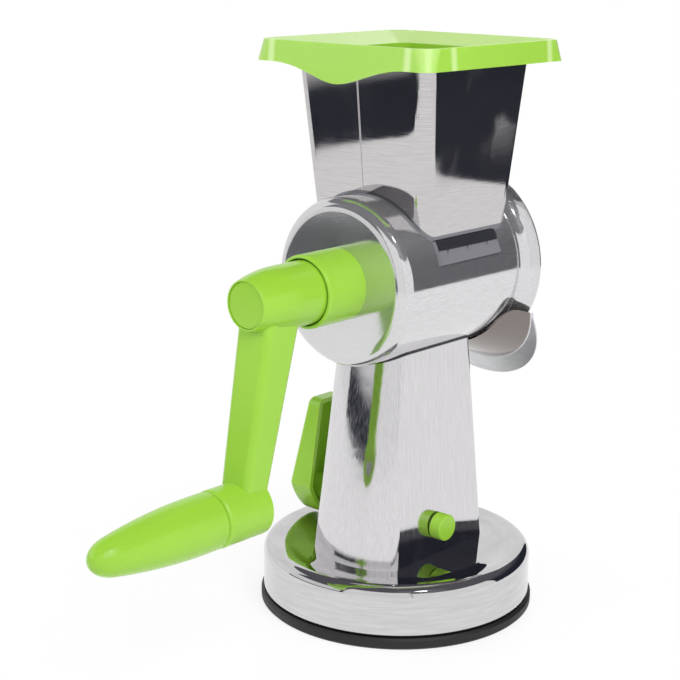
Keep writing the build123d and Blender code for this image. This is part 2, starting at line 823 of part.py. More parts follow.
with BuildPart() as drum_blade:
    with BuildSketch(barrel_side):
        with BuildLine():
            Polyline(
                (drum_start, drum_front_radius),
                (drum_end, drum_rear_radius),
                (drum_end, drum_rear_radius - drum_gauge),
                (drum_start, drum_front_radius - drum_gauge),
                close=True,
            )
        make_face()
    revolve(axis=barrel_axis)
    with BuildSketch(*slot_planes):
        Rectangle(slot_length, slot_width)
    extrude(amount=drum_gauge * 3, both=True, mode=Mode.SUBTRACT)
    # each slot's cutting edge stands over it like a raised flap
    with BuildSketch(*blade_planes):
        with Locations((0, blade_width / 2)):
            Rectangle(slot_length, blade_width)
    extrude(amount=drum_gauge)
    with BuildSketch(*rivet_planes):
        Circle(rivet_radius + running_gap)
    extrude(amount=drum_gauge * 3, both=True, mode=Mode.SUBTRACT)

with BuildPart() as drum_rim:
    with BuildSketch(barrel_side):
        with Locations((drum_end - drum_rim_width / 2, drum_rear_radius + seat_gap + drum_rim_gauge / 2)):
            RectangleRounded(drum_rim_width, drum_rim_gauge, drum_rim_round)
    revolve(axis=barrel_axis)

rivet_head_seat = drum_radius(drum_grip_y + rivet_head_radius) + running_gap
head_planes = [radial_plane(angle, drum_grip_y, rivet_head_seat) for angle in rivet_angles]
with BuildPart() as drum_rivets:
    with BuildSketch(*head_planes):
        Circle(rivet_head_radius)
    extrude(amount=rivet_head_height)
    with BuildSketch(*head_planes):
        Circle(rivet_radius)
    extrude(amount=-rivet_depth)

# ---- crank -------------------------------------------------------------------------------------

with BuildPart() as crank:
    with BuildSketch(barrel_side):
        with BuildLine():
            taper_start = Line((-hub_back, hub_radius), (-hub_front + hub_taper, hub_radius)) @ 1
            hub_side = TangentArc(taper_start, (-hub_front, hub_front_radius), tangent=(-1, 0))
            Polyline(hub_side @ 1, (-hub_front, 0), (-hub_back, 0), (-hub_back, hub_radius))
        make_face()
    revolve(axis=barrel_axis)
    fillet(crank.faces().sort_by(Axis.Y)[0].edges(), hub_edge)
    with BuildSketch(Plane.XY.offset(axis_height)):
        with Locations((0, -arm_top_y)):
            RectangleRounded(arm_top_width, arm_top_depth, arm_corner)
    with BuildSketch(Plane.XY.offset(grip_height)):
        with Locations((0, -arm_foot_y)):
            RectangleRounded(arm_foot_width, arm_foot_depth, arm_corner)
    loft()
    with BuildSketch(facing_crank(-boss_back, z=grip_height)):
        Circle(boss_radius)
    extrude(amount=boss_front - boss_back)
    boss_faces = crank.faces().filter_by(Axis.Y).filter_by_position(Axis.Z, grip_height - 1, grip_height + 1)
    fillet(boss_faces.sort_by(Axis.Y)[-1].edges().filter_by(GeomType.CIRCLE), boss_round)
    # tenon pocket, screw hole and the cap's seat
    with BuildSketch(facing_crank(-hub_back)):
        Rectangle(tenon_square + 2 * seat_gap, tenon_square + 2 * seat_gap)
    extrude(amount=tenon_length + loose_gap, mode=Mode.SUBTRACT)
    with BuildSketch(facing_crank(-hub_back)):
        Circle(crank_screw_radius + seat_gap)
    extrude(amount=hub_front - hub_back, mode=Mode.SUBTRACT)
    with BuildSketch(facing_crank(-screw_seat)):
        Circle(crank_screw_head_radius + loose_gap)
    extrude(amount=hub_front - screw_seat, mode=Mode.SUBTRACT)
    with BuildSketch(facing_crank(-hub_front + cap_sink + cap_thickness)):
        Circle(cap_radius + seat_gap)
    extrude(amount=cap_sink + cap_thickness, mode=Mode.SUBTRACT)
    # the grip pin's bore and the recess for its head
    with BuildSketch(facing_crank(-boss_back, z=grip_height)):
        Circle(grip_pin_radius + running_gap)
    extrude(amount=boss_front - boss_back, mode=Mode.SUBTRACT)
    with BuildSketch(facing_crank(-boss_back, z=grip_height)):
        Circle(grip_pin_head_radius + loose_gap)
    extrude(amount=grip_pin_head_height + loose_gap, mode=Mode.SUBTRACT)

with BuildPart() as hub_cap:
    with BuildSketch(facing_crank(-hub_front + cap_sink + cap_thickness)):
        Circle(cap_radius)
    extrude(amount=cap_thickness)
    fillet(hub_cap.faces().sort_by(Axis.Y)[0].edges(), cap_edge)

with BuildPart() as crank_screw:
    with BuildSketch(facing_crank(-screw_seat)):
        Circle(crank_screw_head_radius)
    extrude(amount=crank_screw_head_height)
    with BuildSketch(facing_crank(-screw_seat)):
        Circle(crank_screw_radius)
    extrude(amount=-(screw_seat - tenon_end + crank_screw_depth))
    with BuildSketch(facing_crank(-screw_seat - crank_screw_head_height)):
        Rectangle(crank_screw_slot_length, crank_screw_slot_width)
        Rectangle(crank_screw_slot_width, crank_screw_slot_length)
    extrude(amount=-crank_screw_slot_depth, mode=Mode.SUBTRACT)

# ---- grip --------------------------------------------------------------------------------------

pin_seat = boss_back + grip_pin_head_height + loose_gap
pin_end = grip_start + grip_pin_reach
clip_back = pin_end - clip_from_end - clip_gauge

with BuildPart() as grip:
    with BuildSketch(grip_side):
        with BuildLine():
            rounding = CenterArc((-grip_start - grip_end_round, grip_radius - grip_end_round),
                                 grip_end_round, 0, 90)
            straight = Line(rounding @ 1, (-grip_start - grip_straight, grip_radius))
            nose_start = (-grip_start - grip_straight - grip_taper, grip_nose_radius)
            taper = TangentArc(straight @ 1, nose_start, tangent=(-1, 0))
            nose = Bezier(taper @ 1, taper @ 1 + (taper % 1) * (grip_nose_radius * grip_nose_fullness),
                          (-grip_end, grip_nose_radius * grip_nose_flatness), (-grip_end, 0))
            Polyline(nose @ 1, (-grip_start, 0), rounding @ 0)
        make_face()
    revolve(axis=grip_axis)
    with BuildSketch(facing_crank(-grip_start, z=grip_height)):
        Circle(grip_pin_radius + running_gap)
    extrude(amount=grip_pin_reach + loose_gap, mode=Mode.SUBTRACT)
    # the chamber that the retaining clip turns in
    with BuildSketch(facing_crank(-clip_back + loose_gap, z=grip_height)):
        Circle(clip_radius + loose_gap)
    extrude(amount=clip_gauge + 2 * loose_gap, mode=Mode.SUBTRACT)

with BuildPart() as grip_pin:
    with BuildSketch(facing_crank(-pin_seat + grip_pin_head_height, z=grip_height)):
        Circle(grip_pin_head_radius)
    extrude(amount=grip_pin_head_height)
    with BuildSketch(facing_crank(-pin_seat, z=grip_height)):
        Circle(grip_pin_radius)
    extrude(amount=pin_end - pin_seat)
    with BuildSketch(facing_crank(-clip_back, z=grip_height)):
        Circle(grip_pin_radius + 1)
        Circle(clip_groove_radius, mode=Mode.SUBTRACT)
    extrude(amount=clip_gauge, mode=Mode.SUBTRACT)

with BuildPart() as grip_clip:
    with BuildSketch(facing_crank(-clip_back, z=grip_height)):
        Circle(clip_radius)
        Circle(clip_groove_radius + running_gap, mode=Mode.SUBTRACT)
        with Locations((0, -clip_radius)):
            Rectangle(clip_opening, 2 * clip_radius, mode=Mode.SUBTRACT)
    extrude(amount=clip_gauge)

# ---- suction lock ------------------------------------------------------------------------------


def neck_side(z):
    """Half width of the neck at height z."""
    return neck_size(z)[0]


bush_face = neck_side(lock_height + bush_flange_radius) - sheet_gauge - running_gap
bush_end = neck_side(lock_height) + bush_proud
button_start = neck_side(lock_height - cap_button_radius) + loose_gap
boss_end = neck_side(lock_height - lever_boss_radius) + loose_gap
lever_shaft_end = lever_outer_x - lever_shaft_skin


def shaft_bush(side):
    """A flanged bush whose sleeve fills the neck's hole; side is +1 on the right, -1 on the left."""
    with BuildPart() as bush:
        with BuildSketch(facing_right(side * (bush_face - bush_flange))):
            Circle(bush_flange_radius)
            Circle(lock_shaft_radius + running_gap, mode=Mode.SUBTRACT)
        extrude(amount=side * bush_flange)
        with BuildSketch(facing_right(side * bush_face)):
            Circle(bush_radius)
            Circle(lock_shaft_radius + running_gap, mode=Mode.SUBTRACT)
        extrude(amount=side * (bush_end - bush_face))
    return bush.part


with BuildPart() as shaft_bush_left:
    add(shaft_bush(-1))

with BuildPart() as shaft_bush_right:
    add(shaft_bush(1))

with BuildPart() as cam_shaft:
    with BuildSketch(facing_right(-lever_shaft_end)):
        Circle(lock_shaft_radius)
    extrude(amount=lever_shaft_end + button_start + cap_button_length - cap_button_wall)
    with BuildSketch(facing_right(-cam_length / 2)):
        with Locations((cam_offset_y, cam_offset_z)):
            Circle(cam_radius)
    extrude(amount=cam_length)
    with BuildSketch(facing_right(-lever_shaft_end)):
        Circle(lever_screw_radius + running_gap)
    extrude(amount=lever_screw_length, mode=Mode.SUBTRACT)

with BuildPart() as shaft_cap:
    with BuildSketch(facing_right(button_start)):
        Circle(cap_button_radius)
    extrude(amount=cap_button_length)
    fillet(shaft_cap.faces().sort_by(Axis.X)[-1].edges(), cap_button_round)
    with BuildSketch(facing_right(button_start)):
        Circle(lock_shaft_radius + running_gap)
    extrude(amount=cap_button_length - cap_button_wall, mode=Mode.SUBTRACT)


def lever_block(inset):
    """The lever's solid outline drawn in by inset, from its rim out to its sloping outer face."""
    with BuildPart() as block:
        with BuildSketch(facing_right(-lever_rim_x)) as outline:
            with BuildLine():
                heel = CenterArc((0, 0), lever_heel, 0, -(360 - lever_heel_turn))
                belly = TangentArc(heel @ 1, (-lever_belly, lever_belly_height), tangent=heel % 1)
                Polyline(
                    belly @ 1,
                    (-lever_tip_front, lever_height),
                    (lever_tip_back, lever_height),
                    heel @ 0,
                )
            make_face()
            fillet(outline.vertices().group_by(Axis.Y)[-1], lever_tip_round)
            if inset:
                offset(amount=-inset, mode=Mode.REPLACE)
        extrude(amount=-(lever_outer_x - lever_rim_x - inset))
        with BuildSketch(Plane.XZ.offset(-2 * lever_belly)):
            with BuildLine():
                Polyline(
                    (-lever_outer_x + inset, lock_height + lever_lean_from),
                    (-lever_outer_x + lever_top_lean + inset, lock_height + lever_height),
                    (-lever_outer_x + lever_top_lean + inset, lock_height + lever_height + 1),
                    (-lever_outer_x - 1, lock_height + lever_height + 1),
                    (-lever_outer_x - 1, lock_height + lever_lean_from),
                    close=True,
                )
            make_face()
        extrude(amount=4 * lever_belly, mode=Mode.SUBTRACT)
        outer_faces = block.faces().sort_by(Axis.X)[:2]
        shared = [edge for edge in outer_faces[0].edges() if edge in outer_faces[1].edges()]
        outer_edges = [edge for face in outer_faces for edge in face.edges() if edge not in shared]
        fillet(outer_edges, lever_edge_round - min(inset, lever_edge_round - running_gap))
    return block.part


with BuildPart() as lock_lever:
    add(lever_block(0))
    add(lever_block(lever_wall), mode=Mode.SUBTRACT)
    with BuildSketch(facing_right(-lever_outer_x + lever_wall)):
        Circle(lever_boss_radius)
    extrude(amount=lever_outer_x - lever_wall - boss_end)
    with BuildSketch(facing_right(-lever_shaft_end)):
        Circle(lock_shaft_radius + running_gap)
    extrude(amount=lever_shaft_end - boss_end, mode=Mode.SUBTRACT)
    with BuildSketch(facing_right(-lever_outer_x)):
        Circle(lever_screw_head_radius + seat_gap)
    extrude(amount=lever_screw_head_height, mode=Mode.SUBTRACT)
    with BuildSketch(facing_right(-lever_outer_x)):
        Circle(lever_screw_radius + seat_gap)
    extrude(amount=lever_shaft_skin, mode=Mode.SUBTRACT)

with BuildPart() as lever_screw:
    with BuildSketch(facing_right(-lever_outer_x)):
        Circle(lever_screw_head_radius)
    extrude(amount=lever_screw_head_height)
    with BuildSketch(facing_right(-lever_outer_x)):
        Circle(lever_screw_radius)
    extrude(amount=lever_shaft_skin + lever_screw_length - lever_screw_tip_gap)

with BuildPart() as pull_post:
    with BuildSketch(Plane.XY.offset(post_flange_height)):
        Circle(post_flange_radius)
    extrude(amount=post_flange)
    with BuildSketch(Plane.XY.offset(post_flange_height)):
        Circle(post_radius)
    extrude(amount=yoke_slot_height - yoke_slot_half - post_flange_height - yoke_wall / 2)
    with BuildSketch(facing_right(-yoke_width / 2, z=yoke_slot_height)):
        with Locations((yoke_middle, 0)):
            RectangleRounded(yoke_length, 2 * (yoke_slot_half + yoke_wall), yoke_corner)
            RectangleRounded(yoke_length - 2 * yoke_wall, 2 * yoke_slot_half, yoke_corner, mode=Mode.SUBTRACT)
    extrude(amount=yoke_width)

spring_start = pad_boss_height + spring_wire / 2 + running_gap
spring_height = frame_bottom - frame_boss_height - pad_boss_height - spring_wire - 2 * running_gap
with BuildPart() as post_spring:
    with BuildLine() as coil:
        Helix(pitch=spring_height / spring_turns, height=spring_height, radius=spring_radius,
              center=(0, 0, spring_start))
    with BuildSketch(Plane(origin=coil.line @ 0, z_dir=coil.line % 0)):
        Circle(spring_wire / 2)
    sweep(is_frenet=True)

# ---- write the pieces --------------------------------------------------------------------------

pieces = {
    "suction_pad": suction_pad,
    "pad_middle": pad_middle,
    "base_shell": base_shell,
    "base_frame": base_frame,
    "base_screws": base_screws,
    "neck": neck,
    "neck_foot": neck_foot,
    "barrel": barrel,
    "hopper": hopper,
    "hopper_guard": hopper_guard,
    "outlet_spout": outlet_spout,
    "crank_bearing": crank_bearing,
    "bearing_nut": bearing_nut,
    "drive_shaft": drive_shaft,
    "drum_hub": drum_hub,
    "drum_blade": drum_blade,
    "drum_rim": drum_rim,
    "drum_rivets": drum_rivets,
    "crank": crank,
    "hub_cap": hub_cap,
    "crank_screw": crank_screw,
    "grip": grip,
    "grip_pin": grip_pin,
    "grip_clip": grip_clip,
    "lock_lever": lock_lever,
    "lever_screw": lever_screw,
    "cam_shaft": cam_shaft,
    "shaft_cap": shaft_cap,
    "shaft_bush_left": shaft_bush_left,
    "shaft_bush_right": shaft_bush_right,
    "pull_post": pull_post,
    "post_spring": post_spring,
}
for name, piece in pieces.items():
    piece.part.label = name
    export_step(piece.part, f"parts/{name}.step")
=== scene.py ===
import math

import bpy
import numpy as np
from mathutils import Matrix, Vector

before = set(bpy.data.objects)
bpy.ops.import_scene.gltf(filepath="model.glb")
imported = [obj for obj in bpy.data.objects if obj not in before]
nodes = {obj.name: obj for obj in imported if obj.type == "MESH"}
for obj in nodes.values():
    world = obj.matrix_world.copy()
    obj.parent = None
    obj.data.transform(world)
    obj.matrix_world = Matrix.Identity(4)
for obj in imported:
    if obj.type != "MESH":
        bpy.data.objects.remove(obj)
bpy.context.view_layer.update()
scene = bpy.context.scene

# ---- sizes in metres -----------------------------------------------------------------------------

PHOTO_WIDTH = 680
FOCAL_PIXELS = 1586.7
SENSOR = 36.0
CAMERA_PLACE = Vector((0.45308, -0.54957, 0.30873))
CAMERA_TURN = 41.73  # degrees from +Y towards -X
CAMERA_PITCH = 14.44
CAMERA_ROLL = 0.45

AXIS = 0.159  # the barrel's middle height
NECK_JOINT_SHADOW = (0.0391, 0.0386)  # from the barrel's axis, where the painted shadow under the barrel fades in on the neck
TAB_REACH = (0.0396, 0.0393)  # from the barrel's axis, where the hopper's wall turns into its tab

HOPPER_FOOT = 0.176
HOPPER_TOP = 0.256
HOPPER_MIDDLE = 0.0066
HOPPER_FOOT_HALF_X = 0.0325
HOPPER_FOOT_HALF_Y = 0.0298
HOPPER_TOP_HALF = 0.038
HOPPER_EDGE_POWER = 12.0  # a high power keeps the roll off close to the corners
SEAM = -0.0012  # the hopper's folded seam, off the middle of its front
SEAM_HALF = 0.00045
SEAM_FACE = (-0.018, -0.02)  # the seam fades in between these two places along Y
WIPED_SIDE = (0.031, 0.033)  # the wiped patches fade in towards the wall on +X, and up it
WIPED_HEIGHT = (0.205, 0.225)

GUARD_CORNER_X = 0.0385  # the bends of the guard's corner, off the hopper's middle, where painted highlights run
GUARD_CORNER_Y = 0.0342
GUARD_WALL_X = 0.0488
GUARD_WALL_Y = 0.0445

SPOUT_LIP_Y = 0.051
SPOUT_LIP_Z = 0.1322
SPOUT_LIP_LEAN = math.radians(29.0)
SPOUT_LIP_FACES = (-0.0012, -0.0016)  # behind the lip's front, where the lip ends and the collar begins

BRUSHED = 0.86  # how metallic the brushed barrel and tab look

STUDIO_RADIUS = 0.835  # from its own middle, which is set off towards the back right
STUDIO_SHIFT = Vector((0.035, 0.038, 0.0))
STUDIO_FOOT = -0.02
STUDIO_WALL_TOP = 0.7
STUDIO_DOME_RISE = 0.6
PANEL_EDGE = 0.03  # softness of a panel's edges, in radians seen from the studio's middle

# Bright panels in the dark room: azimuth from +X in degrees, half width, lowest and highest edge, strength.
PANELS = [
    (158, 57, -0.1, 0.75, 0.9),
    (239, 27, 0.055, 0.45, 0.8),
    (295, 28, -0.1, 0.8, 0.9),
    (0, 38, -0.1, 0.6, 0.95),
]

SHADOW_FADE = (0.07, 0.2)  # from the object's middle, where the floor's shadow fades out
SHADOW_SHARE = 0.8  # how much of the floor near the object is lit evenly, with no shadow
WORLD_LIGHT = 0.45  # the world's strength as a light; it is 1 where it is seen
LAMP_AIM = Vector((0.0, 0.0, 0.13))
WHITE = (1.0, 1.0, 1.0, 1.0)


# ---- node helpers --------------------------------------------------------------------------------


class Finish:
    """Builds one node material; each method adds a node and returns its output socket."""

    def __init__(self, name):
        self.material = bpy.data.materials.new(name)
        self.material.use_nodes = True
        self.tree = self.material.node_tree
        self.shader = self.tree.nodes["Principled BSDF"]
        coordinates = self.node("ShaderNodeTexCoord").outputs
        self.place = coordinates["Object"]
        self.facing = coordinates["Normal"]

    def node(self, kind, **settings):
        made = self.tree.nodes.new(kind)
        for key, value in settings.items():
            setattr(made, key, value)
        return made

    def link(self, value, socket):
        if isinstance(value, bpy.types.NodeSocket):
            self.tree.links.new(value, socket)
        else:
            socket.default_value = value

    def set(self, **values):
        for key, value in values.items():
            self.link(value, self.shader.inputs[key.replace("_", " ")])

    def surface(self, shader):
        """Uses this shader for the surface in place of the standard one."""
        self.link(shader.outputs[0], self.tree.nodes["Material Output"].inputs["Surface"])

    def stretched(self, scale):
        made = self.node("ShaderNodeMapping")
        self.link(self.place, made.inputs["Vector"])
        made.inputs["Scale"].default_value = scale
        return made.outputs["Vector"]

    def noise(self, place, scale, detail=2.0, roughness=0.5, distortion=0.0):
        made = self.node("ShaderNodeTexNoise")
        self.link(place, made.inputs["Vector"])
        made.inputs["Scale"].default_value = scale
        made.inputs["Detail"].default_value = detail
        made.inputs["Roughness"].default_value = roughness
        made.inputs["Distortion"].default_value = distortion
        return made.outputs["Fac"]

    def spread(self, value, low, high, to_low=0.0, to_high=1.0):
        made = self.node("ShaderNodeMapRange")
        self.link(value, made.inputs["Value"])
        for name, number in (("From Min", low), ("From Max", high), ("To Min", to_low), ("To Max", to_high)):
            made.inputs[name].default_value = number
        return made.outputs["Result"]

    def math(self, operation, first, second=0.0):
        made = self.node("ShaderNodeMath", operation=operation)
        self.link(first, made.inputs[0])
        self.link(second, made.inputs[1])
        return made.outputs[0]

    def length(self, first, second):
        """Length of the arrow with these two sides."""
        squares = (self.math("MULTIPLY", side, side) for side in (first, second))
        return self.math("SQRT", self.math("ADD", *squares))

    def mix(self, share, first, second):
        made = self.node("ShaderNodeMix", data_type="RGBA")
        self.link(share, made.inputs["Factor"])
        self.link(first, made.inputs["A"])
        self.link(second, made.inputs["B"])
        return made.outputs["Result"]

    def parts(self, place=None):
        made = self.node("ShaderNodeSeparateXYZ")
        self.link(place or self.place, made.inputs[0])
        return made.outputs

    def bump(self, height, distance, normal=None):
        made = self.node("ShaderNodeBump")
        self.link(height, made.inputs["Height"])
        made.inputs["Distance"].default_value = distance
        made.inputs["Strength"].default_value = 1.0
        if normal:
            self.link(normal, made.inputs["Normal"])
        return made.outputs["Normal"]


def rgb(red, green, blue):
    """A linear colour from display values of 0 to 255."""

    def linear(value):
        value /= 255
        return value / 12.92 if value <= 0.04045 else ((value + 0.055) / 1.055) ** 2.4

    return (linear(red), linear(green), linear(blue), 1.0)


# ---- finishes ------------------------------------------------------------------------------------


def polished(name, grain, roughness=0.05, tint=(226, 226, 229), streak=0.15, wave=0.0):
    """Mirror polished sheet: fine drawing lines, a faint change of colour with them, and dull smears."""
    f = Finish(name)
    lines = f.noise(f.stretched(grain), 1.0, 3.0, 0.6)
    smears = f.noise(f.place, 28.0, 3.0, 0.55, 0.6)
    f.colour = f.mix(f.spread(lines, 0.3, 0.7), rgb(*[v - 14 for v in tint]), rgb(*tint))
    f.roughness = f.math(
        "ADD",
        f.spread(lines, 0.35, 0.7, roughness * 0.6, roughness * 1.3),
        f.spread(smears, 0.45, 0.75, 0.0, 0.05),
    )
    f.normal = f.bump(f.math("MULTIPLY", lines, streak), 0.00002)
    if wave:
        f.normal = f.bump(f.noise(f.place, 14.0, 1.0), wave, f.normal)
    return f


def metal(f, metallic=1.0):
    """Hands the colour, roughness and normal that were built to the shader."""
    f.set(Base_Color=f.colour, Metallic=metallic, Roughness=f.roughness, Normal=f.normal)
    return f.material


def from_axis(f):
    """Distance from the barrel's axis, in metres."""
    x, _, z = f.parts()
    return f.length(x, f.math("SUBTRACT", z, AXIS))


def hopper_steel():
    """The hopper's mirror: walls that roll off to their corners, a front seam, wiped patches, grey tabs."""
    f = polished("hopper_mirror", (90.0, 90.0, 2600.0), 0.03, (208, 205, 206), 0.05, 0.00012)
    x, y, z = f.parts()
    climb = f.spread(z, HOPPER_FOOT, HOPPER_TOP)
    half_x = f.spread(climb, 0.0, 1.0, HOPPER_FOOT_HALF_X, HOPPER_TOP_HALF)
    half_y = f.spread(climb, 0.0, 1.0, HOPPER_FOOT_HALF_Y, HOPPER_TOP_HALF)
    across = f.math("DIVIDE", f.math("ABSOLUTE", x), half_x)
    along = f.math("DIVIDE", f.math("ABSOLUTE", f.math("SUBTRACT", y, HOPPER_MIDDLE)), half_y)
    falls = (f.math("POWER", share, HOPPER_EDGE_POWER) for share in (across, along))
    fall = f.math("ADD", *falls)
    f.normal = f.bump(f.math("MULTIPLY", fall, -1.0), 0.0011, f.normal)

    from_seam = f.math("ABSOLUTE", f.math("SUBTRACT", x, SEAM))
    ridge = f.math("MULTIPLY", f.spread(from_seam, SEAM_HALF, 0.0), f.spread(y, *SEAM_FACE))
    f.normal = f.bump(ridge, 0.0004, f.normal)
    f.colour = f.mix(f.math("MULTIPLY", f.spread(ridge, 0.5, 0.9), 0.7), f.colour, rgb(70, 68, 70))

    patches = f.noise(f.stretched((1.0, 1.0, 0.7)), 46.0, 2.0, 0.5, 0.4)
    side = f.math("MULTIPLY", f.spread(x, *WIPED_SIDE), f.spread(z, *WIPED_HEIGHT))
    wiped = f.math("MULTIPLY", f.spread(patches, 0.5, 0.66), side)
    f.roughness = f.math("ADD", f.roughness, f.math("MULTIPLY", wiped, 0.22))

    tab = f.spread(from_axis(f), *TAB_REACH)
    f.colour = f.mix(tab, f.colour, rgb(126, 126, 132))
    f.roughness = f.math("ADD", f.roughness, f.math("MULTIPLY", tab, 0.06))
    return metal(f, f.spread(tab, 0.0, 1.0, 0.985, BRUSHED))


def barrel_steel():
    """The barrel's brushed mirror, with a fine speckle that greys it a little."""
    f = polished("barrel_mirror", (2200.0, 160.0, 2200.0), 0.075, (222, 221, 223), 0.3)
    speckle = f.noise(f.place, 1500.0, 2.0)
    f.normal = f.bump(speckle, 0.000012, f.normal)
    return metal(f, f.spread(speckle, 0.3, 0.7, BRUSHED - 0.04, BRUSHED + 0.04))


def spout_steel():
    """The spout's mirror: its collar, behind the flat satin lip, is smoother, and painted darker and browner
    as a painted reflection of the dark room.
    """
    f = polished("spout_mirror", (120.0, 900.0, 120.0))
    _, y, z = f.parts()
    out = f.math("MULTIPLY", f.math("SUBTRACT", y, SPOUT_LIP_Y), math.cos(SPOUT_LIP_LEAN))
    up = f.math("MULTIPLY", f.math("SUBTRACT", z, SPOUT_LIP_Z), math.sin(SPOUT_LIP_LEAN))
    collar = f.spread(f.math("ADD", out, up), *SPOUT_LIP_FACES)
    # painted reflection: the collar's colour is darkened and browned to stand for the dark room that it
    # mirrors
    f.colour = f.mix(collar, f.colour, rgb(132, 125, 121))
    f.roughness = f.spread(collar, 0.0, 1.0, 0.3, 0.08)
    return metal(f)


def neck_steel():
    """The neck's satin sheet, drawn upright, with a dark band of painted shadow where it meets the barrel.
    """
    f = polished("neck_satin", (1800.0, 1800.0, 40.0), 0.1, (222, 220, 222), 0.22)
    joint_shadow = f.spread(from_axis(f), *NECK_JOINT_SHADOW)
    # painted shadow: the neck is painted dark just under the barrel, where the two parts meet
    f.colour = f.mix(joint_shadow, f.colour, rgb(58, 57, 60))
    return metal(f)


def turned_steel():
    """Turned or pressed steel with fine speckle."""
    f = Finish("turned_steel")
    speckle = f.noise(f.place, 900.0, 2.0)
    f.set(
        Base_Color=f.mix(speckle, rgb(178, 178, 180), rgb(196, 196, 198)),
        Metallic=1.0,
        Roughness=f.spread(speckle, 0.3, 0.7, 0.22, 0.34),
        Normal=f.bump(speckle, 0.00001),
    )
    return f.material


def green_plastic(name, glow=0.12, painted_light=None):
    """Moulded lime green plastic: a slow drift of colour and gloss, and a slight glow."""
    f = Finish(name)
    drift = f.noise(f.place, 22.0, 2.0)
    fine = f.noise(f.place, 1400.0, 2.0)
    f.colour = f.mix(drift, rgb(146, 198, 52), rgb(160, 211, 66))
    # painted light, such as the guard's painted highlights, goes into the colour here
    if painted_light:
        painted_light(f)
    f.set(
        Base_Color=f.colour,
        Roughness=f.spread(drift, 0.3, 0.7, 0.16, 0.25),
        Normal=f.bump(fine, 0.000004),
        Subsurface_Weight=glow,
        Subsurface_Radius=(0.6, 1.0, 0.2),
        Subsurface_Scale=0.003,
    )
    return f.material


def guard_painted_light(f):
    """The thin guard's painted light: its upward-facing side is painted paler, as if lit from above, and the
    two bends of each corner get painted highlights.
    """
    x, y, _ = f.parts()
    _, _, facing_up = f.parts(f.facing)
    # painted light: the upward-facing side is painted paler
    f.colour = f.mix(f.math("MULTIPLY", f.spread(facing_up, 0.05, 0.4), 0.75), f.colour, rgb(206, 233, 160))
    across = f.math("ABSOLUTE", x)
    along = f.math("ABSOLUTE", f.math("SUBTRACT", y, HOPPER_MIDDLE))
    for line, other, bend, wall in (
        (across, along, GUARD_CORNER_X, GUARD_WALL_Y),
        (along, across, GUARD_CORNER_Y, GUARD_WALL_X),
    ):
        off = f.math("ABSOLUTE", f.math("SUBTRACT", line, bend))
        # painted highlights: pale bands along the two bends of each corner
        corner_highlight = f.math("MULTIPLY", f.spread(off, 0.0026, 0.0008), f.spread(other, wall - 0.001, wall))
        f.colour = f.mix(f.math("MULTIPLY", corner_highlight, 0.55), f.colour, rgb(222, 242, 180))


def black_rubber():
    """Satin rubber with a fine mould texture and dusty wear."""
    f = Finish("pad_rubber")
    grain = f.noise(f.place, 1100.0, 3.0)
    dust = f.noise(f.place, 35.0, 3.0, 0.6)
    f.set(
        Base_Color=f.mix(f.spread(dust, 0.45, 0.75), rgb(10, 10, 12), rgb(19, 19, 21)),
        Roughness=f.spread(dust, 0.3, 0.7, 0.5, 0.65),
        Normal=f.bump(grain, 0.00003),
    )
    return f.material


def black_plastic():
    """Plain black moulded plastic with a spark texture."""
    f = Finish("frame_black")
    grain = f.noise(f.place, 700.0, 2.0)
    f.set(
        Base_Color=f.mix(grain, rgb(40, 40, 41), rgb(52, 52, 53)),
        Roughness=0.5,
        Normal=f.bump(grain, 0.00004),
    )
    return f.material


# Drawing lines run along the axis whose scale is small.
FINISHES = {
    metal(polished("base_mirror", (60.0, 60.0, 900.0), 0.03, (214, 213, 214))): ["base_shell"],
    neck_steel(): ["neck"],
    barrel_steel(): ["barrel"],
    hopper_steel(): ["hopper"],
    spout_steel(): ["outlet_spout"],
    metal(polished("blade_sheet", (300.0, 300.0, 300.0), 0.16)): ["drum_blade"],
    turned_steel(): [
        "base_screws", "neck_foot", "drive_shaft", "drum_rivets", "crank_screw", "grip_pin", "grip_clip",
        "lever_screw", "cam_shaft", "post_spring",
    ],
    green_plastic("crank_green"): ["crank", "hub_cap", "grip"],
    green_plastic("body_green"): ["crank_bearing", "bearing_nut", "lock_lever", "shaft_cap"],
    green_plastic("guard_green", 0.2, guard_painted_light): ["hopper_guard"],
    green_plastic("drum_green"): ["drum_hub", "drum_rim"],
    black_rubber(): ["suction_pad", "pad_middle"],
    black_plastic(): ["base_frame", "shaft_bush_left", "shaft_bush_right", "pull_post"],
}
for material, names in FINISHES.items():
    for name in names:
        node = nodes[name]
        node.data.materials.clear()
        node.data.materials.append(material)


# ---- studio --------------------------------------------------------------------------------------


def ring_mesh(name, points):
    """A mesh from a (rings, points round a ring, 3) array, quads between neighbours, closed all round."""
    rows, columns = points.shape[:2]
    row, column = np.meshgrid(np.arange(rows - 1), np.arange(columns), indexing="ij")
    after = (column + 1) % columns
    lower = row * columns
    upper = lower + columns
    corners = [lower + column, lower + after, upper + after, upper + column]
    quads = np.stack(corners, axis=-1).reshape(-1, 4)
    mesh = bpy.data.meshes.new(name)
    mesh.from_pydata(points.reshape(-1, 3), [], quads)
    mesh.shade_smooth()
    made = bpy.data.objects.new(name, mesh)
    scene.collection.objects.link(made)
    return made


